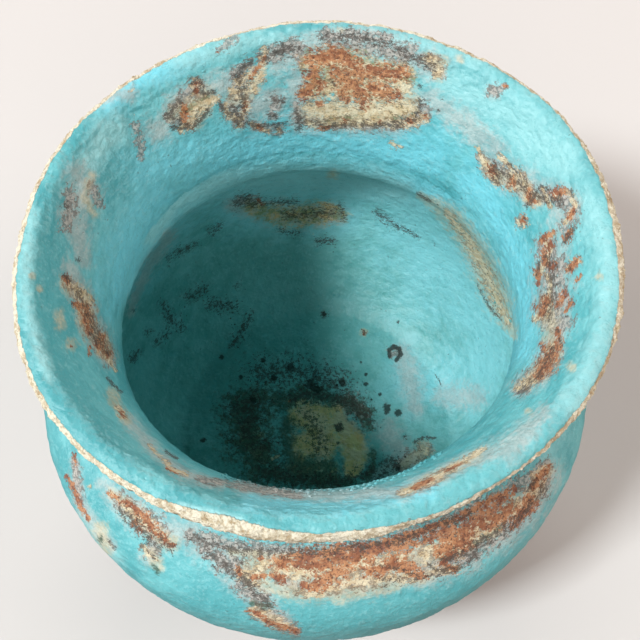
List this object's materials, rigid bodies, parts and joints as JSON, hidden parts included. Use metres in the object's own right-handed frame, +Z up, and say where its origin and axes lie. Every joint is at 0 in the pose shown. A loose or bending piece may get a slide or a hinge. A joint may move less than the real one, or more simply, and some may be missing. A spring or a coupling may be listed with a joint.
{
  "type": "earthenware jar",
  "caption": "Wide-mouthed round-bellied earthenware jar with a flared collar, a rolled bare lip and a worn turquoise glaze inside and out",
  "frame": {"origin": "middle of the flat underside, on which the jar stands", "axes": "+Z up the jar's turning axis, towards the mouth; -Y is the side that the picture shows nearest"},
  "size_m": [0.1516, 0.1524, 0.1241],
  "materials": {
    "fired_clay": "matte",
    "bare_lip": "matte",
    "turquoise_glaze": "satin"
  },
  "bodies": {
    "root": {"base_disc": "fired_clay", "lower_wall": "fired_clay", "belly_wall": "fired_clay", "shoulder_wall": "fired_clay", "throat_wall": "fired_clay", "flared_collar": "fired_clay", "lip_roll": "bare_lip", "outer_glaze": "turquoise_glaze", "inner_glaze": "turquoise_glaze"}
  },
  "joints": []
}
